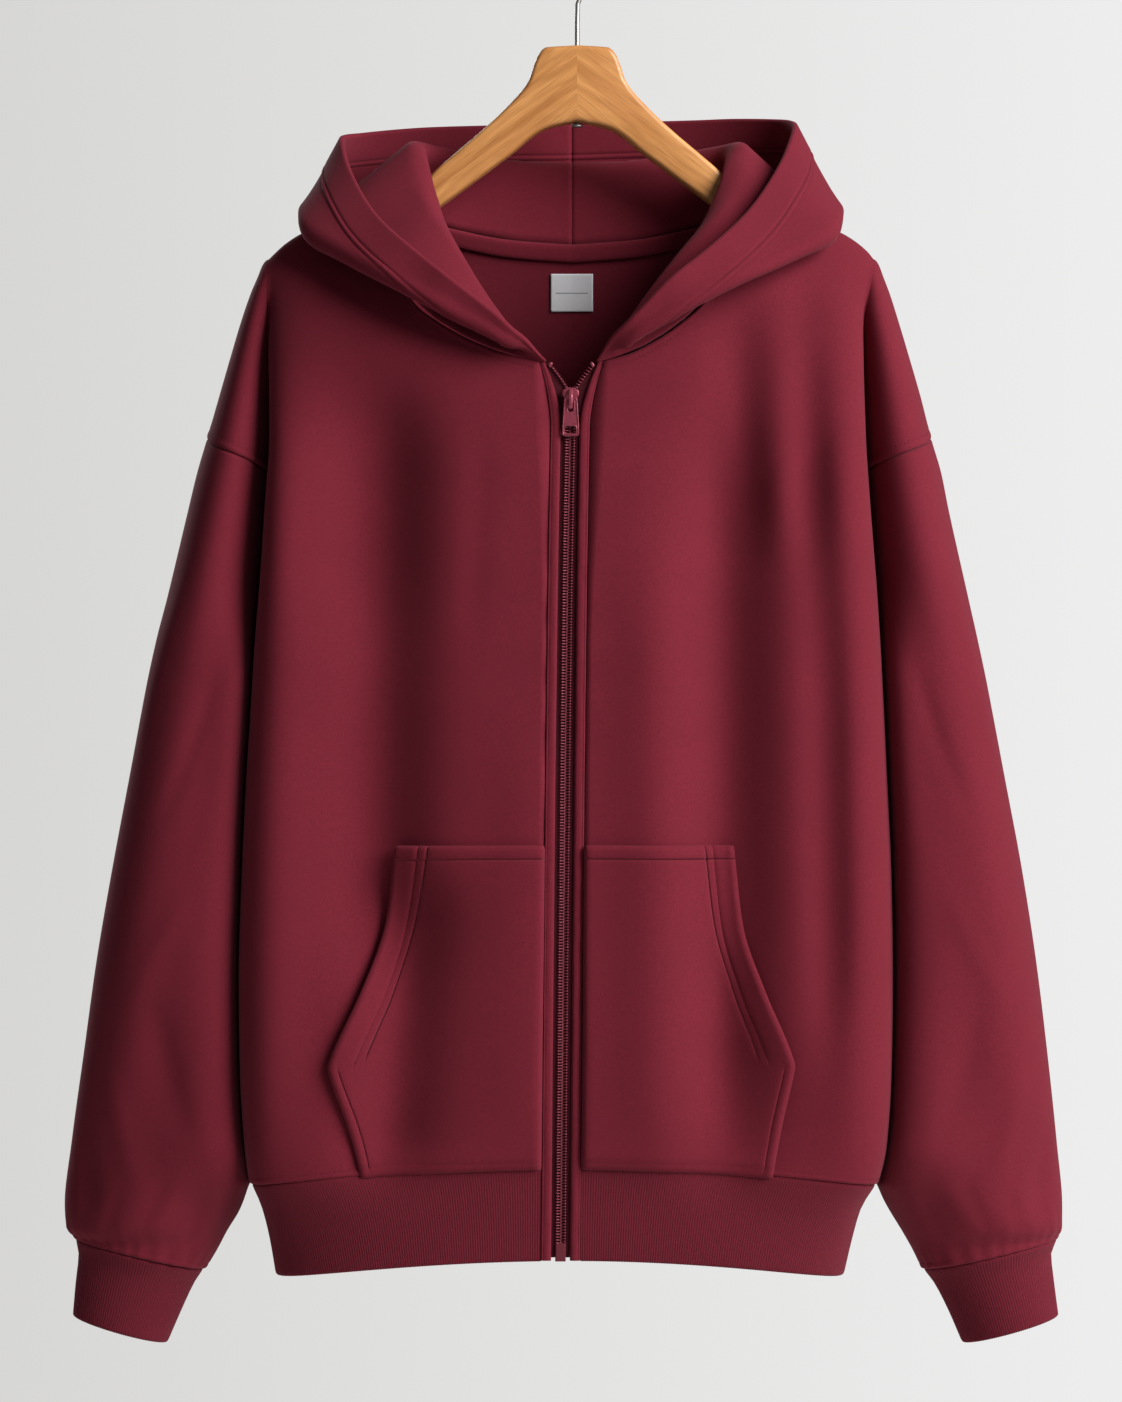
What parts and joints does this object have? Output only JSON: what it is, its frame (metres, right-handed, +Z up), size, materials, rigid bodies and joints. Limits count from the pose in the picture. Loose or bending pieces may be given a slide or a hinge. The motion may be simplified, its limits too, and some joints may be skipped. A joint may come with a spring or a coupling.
{
  "type": "zip-up hoodie on a wooden hanger",
  "caption": "Hooded fleece sweatshirt with a full-length zip, kangaroo pockets and ribbed hem and cuffs, hanging on a contoured wooden hanger with a steel hook.",
  "frame": {"origin": "the top of the inside of the hanger's hook, where a clothes rail carries it", "axes": "+Z up along the hook's stem, -Y out of the garment's front, +X towards the garment's right side as seen from the front"},
  "size_m": [0.698, 0.1861, 0.9896],
  "materials": {
    "burgundy_fleece": "matt brushed fleece with a fine knit face",
    "burgundy_rib": "matt fine rib knit",
    "burgundy_zip": "glossy burgundy lacquer",
    "zip_tape_weave": "matt woven tape",
    "label_satin": "white satin",
    "beech": "satin varnish over warm brown wood",
    "hook_steel": "polished steel"
  },
  "bodies": {
    "garment_and_hanger": {"back": "burgundy_fleece", "cuff_left": "burgundy_rib", "cuff_right": "burgundy_rib", "facing_left": "burgundy_fleece", "facing_right": "burgundy_fleece", "front_left": "burgundy_fleece", "front_right": "burgundy_fleece", "hanger_hook": "hook_steel", "hanger_nut": "hook_steel", "hanger_wood": "beech", "hem_band": "burgundy_rib", "hood_left": "burgundy_fleece", "hood_right": "burgundy_fleece", "neck_label": "label_satin", "neck_tape": "burgundy_fleece", "pocket_left": "burgundy_fleece", "pocket_right": "burgundy_fleece", "sleeve_left": "burgundy_fleece", "sleeve_right": "burgundy_fleece", "zip_box": "burgundy_zip", "zip_chain": "burgundy_zip", "zip_slider": "burgundy_zip", "zip_tape_left": "zip_tape_weave", "zip_tape_right": "zip_tape_weave", "zip_top_left": "zip_tape_weave", "zip_top_right": "zip_tape_weave"},
    "pull_tab": {"zip_pull": "burgundy_zip"}
  },
  "joints": [
    {"name": "pull_tab_swing", "type": "hinge", "parent": "garment_and_hanger", "child": "pull_tab", "pos_m": [-0.00463, -0.07078, -0.3327], "axis": [-1, 0, 0], "range_deg": [0, 165]}
  ]
}
